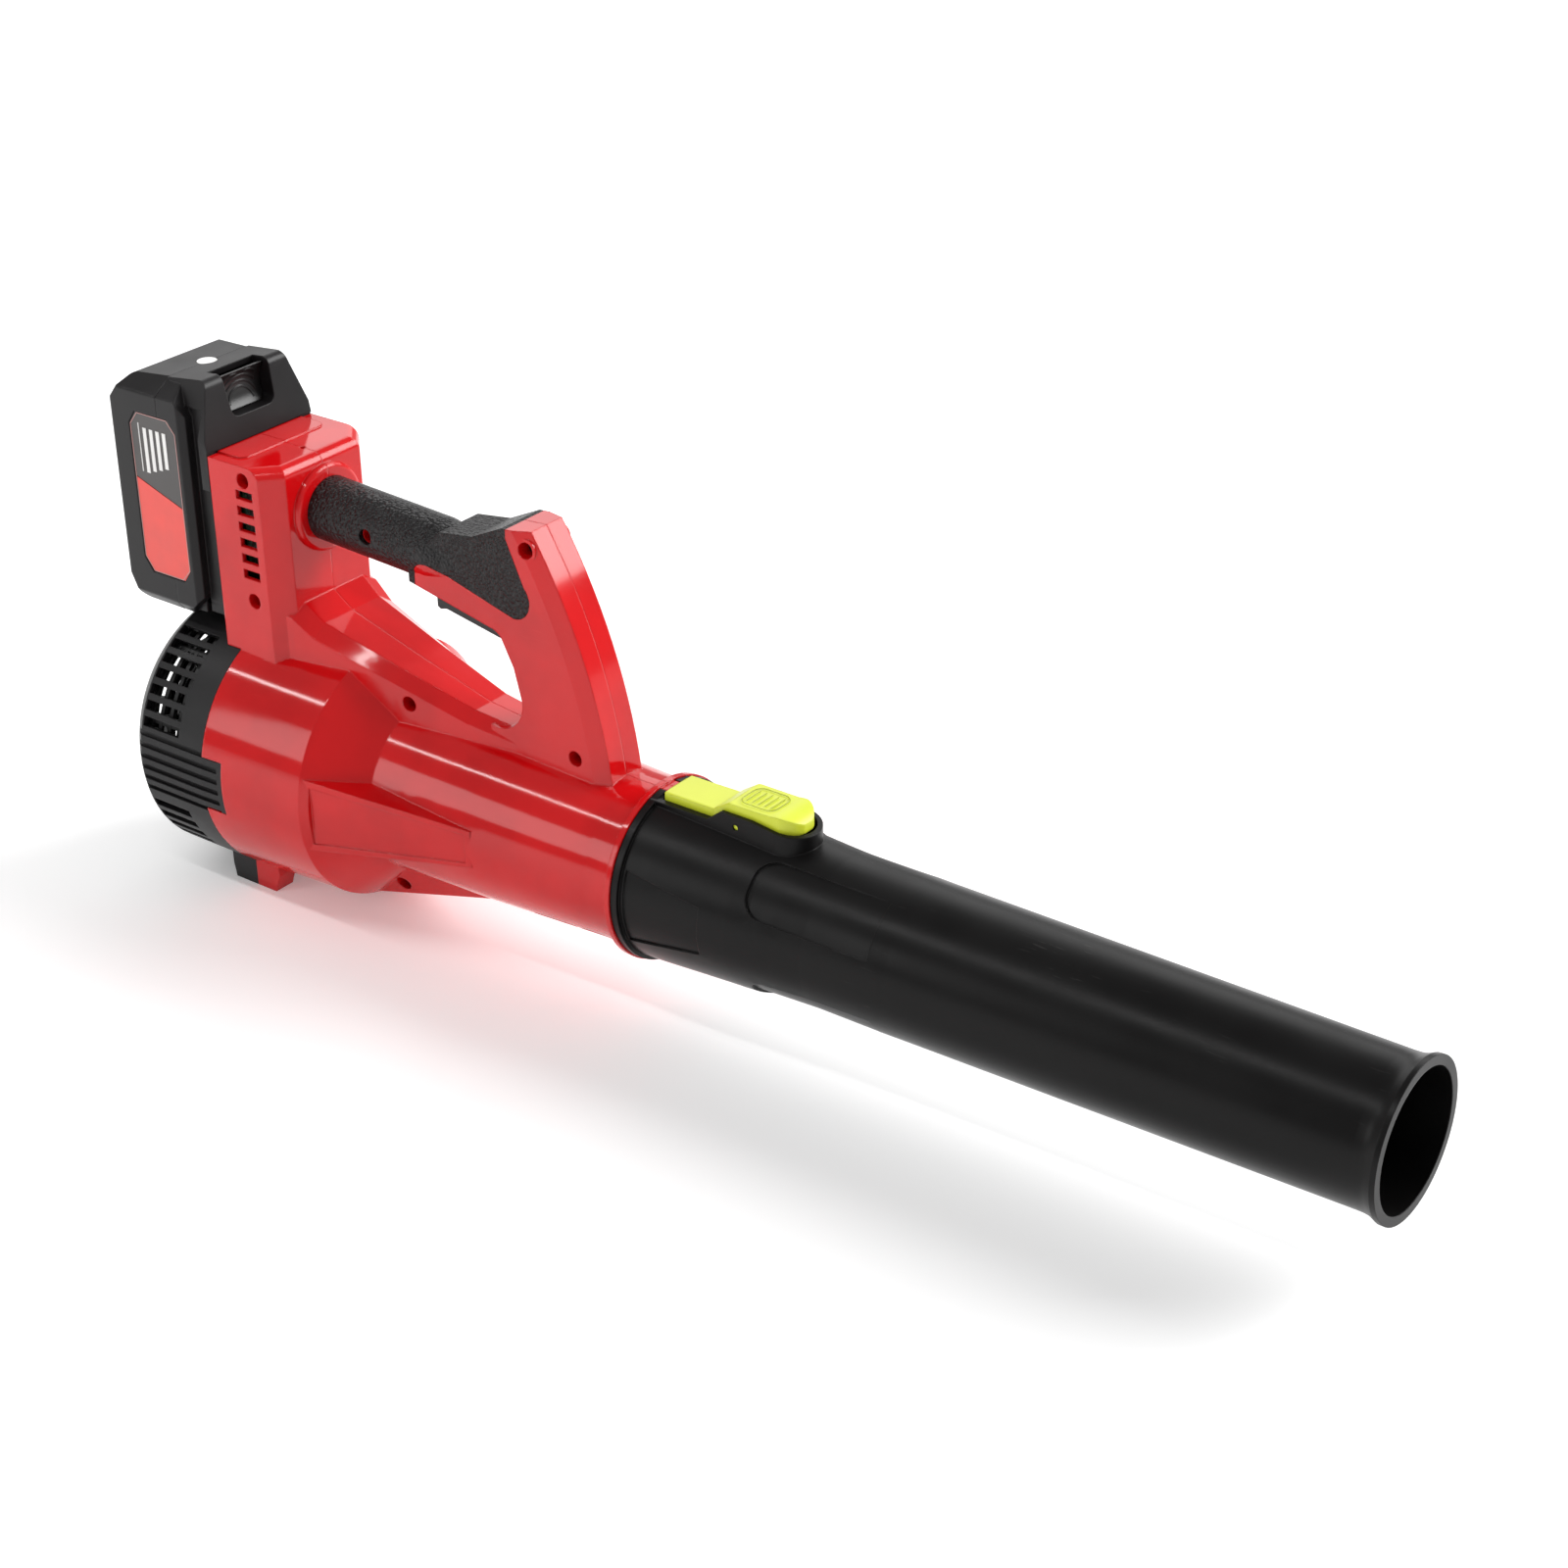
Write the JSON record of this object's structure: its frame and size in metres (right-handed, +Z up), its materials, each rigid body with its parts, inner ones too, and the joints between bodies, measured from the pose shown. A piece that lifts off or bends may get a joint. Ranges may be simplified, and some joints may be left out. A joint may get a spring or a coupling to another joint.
{
  "type": "leaf blower",
  "caption": "Cordless axial leaf blower: moulded two-half housing with a loop handle and trigger, caged rear intake, slide-on battery and a latched straight nozzle",
  "frame": {"origin": "under the middle of the tool's overall box, at the level of its feet", "axes": "X runs forwards along the blower's axis to the nozzle, Y to the tool's left, Z up"},
  "size_m": [0.7186, 0.1424, 0.2718],
  "materials": {
    "red_shell": "glossy moulded, bright red",
    "grip_rubber": "fine textured black over-mould",
    "black_cage": "charcoal moulded",
    "nozzle_black": "satin black moulded",
    "lime_lever": "satin lime green",
    "battery_charcoal": "charcoal, fine texture",
    "trigger_black": "satin black",
    "inner_plastic": "glass-filled black",
    "fan_plastic": "natural grey",
    "screw_steel": "zinc plated",
    "spring_steel": "bright wire",
    "shaft_steel": "ground",
    "lamination": "stacked, dull",
    "magnet": "grey sintered",
    "copper_coil": "enamelled copper wire",
    "contact_metal": "plated contact",
    "can_metal": "turned",
    "sink_metal": "extruded",
    "capacitor_sleeve": "sleeved",
    "board_green": "solder mask",
    "chip_black": "moulded package",
    "lead_red": "wire insulation",
    "cell_blue": "shrink-sleeved steel can",
    "nickel": "nickel strip",
    "rubber_seal": "soft black",
    "label_print": "printed film, dark field over an orange-red field",
    "label_white": "printed film"
  },
  "bodies": {
    "housing": {"housing_right": "red_shell", "housing_left": "red_shell", "grip_right": "grip_rubber", "grip_left": "grip_rubber", "housing_screws": "screw_steel", "rear_grille": "black_cage", "foot_screws": "screw_steel", "intake_basket": "inner_plastic", "fan_shroud": "inner_plastic", "motor_can": "can_metal", "rear_bearing": "shaft_steel", "front_bearing": "shaft_steel", "stator_core": "lamination", "stator_windings": "copper_coil", "motor_screws": "screw_steel", "tail_cone": "inner_plastic", "control_board": "board_green", "heat_sink": "sink_metal", "capacitors": "capacitor_sleeve", "board_chips": "chip_black", "motor_leads": "lead_red", "switch_leads": "lead_red", "terminal_block": "inner_plastic", "terminal_blades": "contact_metal", "switch_body": "chip_black", "trigger_pin": "shaft_steel", "trigger_spring": "spring_steel"},
    "rotor": {"impeller": "fan_plastic", "impeller_nut": "shaft_steel", "motor_shaft": "shaft_steel", "rotor_magnets": "magnet"},
    "trigger": {"trigger": "trigger_black"},
    "plunger": {"switch_plunger": "chip_black"},
    "nozzle": {"nozzle_tube": "nozzle_black", "seal_ring": "rubber_seal", "latch_pin": "lime_lever", "latch_spring": "spring_steel"},
    "lever": {"latch_lever": "lime_lever"},
    "battery": {"battery_case_rear": "battery_charcoal", "battery_case_front": "battery_charcoal", "battery_screws": "screw_steel", "battery_cells": "cell_blue", "cell_holders": "inner_plastic", "nickel_strips": "nickel", "battery_board": "board_green", "battery_contacts": "contact_metal", "label_right": "label_print", "label_left": "label_print", "label_bars": "label_white", "pack_sticker": "label_white", "button_spring": "spring_steel"},
    "button": {"release_button": "trigger_black"}
  },
  "joints": [
    {"name": "trigger_pull", "type": "hinge", "parent": "housing", "child": "trigger", "pos_m": [-0.12785, 0, 0.1855], "axis": [0, 1, 0], "range_deg": [0, 8], "stiffness_Nm_per_rad": 2.5, "springref_deg": -5.73, "deforming": ["trigger_spring"]},
    {"name": "plunger_lift", "type": "slide", "parent": "housing", "child": "plunger", "axis": [0, 0, 1], "range_m": [0, 0.004]},
    {"name": "rotor_spin", "type": "hinge", "parent": "housing", "child": "rotor", "pos_m": [-0.23335, 0, 0.073], "axis": [1, 0, 0], "continuous": true},
    {"name": "nozzle_pull", "type": "slide", "parent": "housing", "child": "nozzle", "axis": [1, 0, 0], "range_m": [0, 0.06]},
    {"name": "latch_press", "type": "hinge", "parent": "nozzle", "child": "lever", "pos_m": [0.01815, 0, 0.1172], "axis": [0, 1, 0], "range_deg": [0, 6], "stiffness_Nm_per_rad": 1.5, "springref_deg": -5.73, "deforming": ["latch_spring"]},
    {"name": "battery_lift", "type": "slide", "parent": "housing", "child": "battery", "axis": [0, 0, 1], "range_m": [0, 0.11]},
    {"name": "release_press", "type": "slide", "parent": "battery", "child": "button", "axis": [-1, 0, 0], "range_m": [0, 0.005], "stiffness_N_per_m": 900, "springref_m": -0.002, "deforming": ["button_spring"]}
  ],
  "couplings": [
    {"joint": "plunger_lift", "follows": "trigger_pull", "m_per_rad": 0.0275}
  ]
}
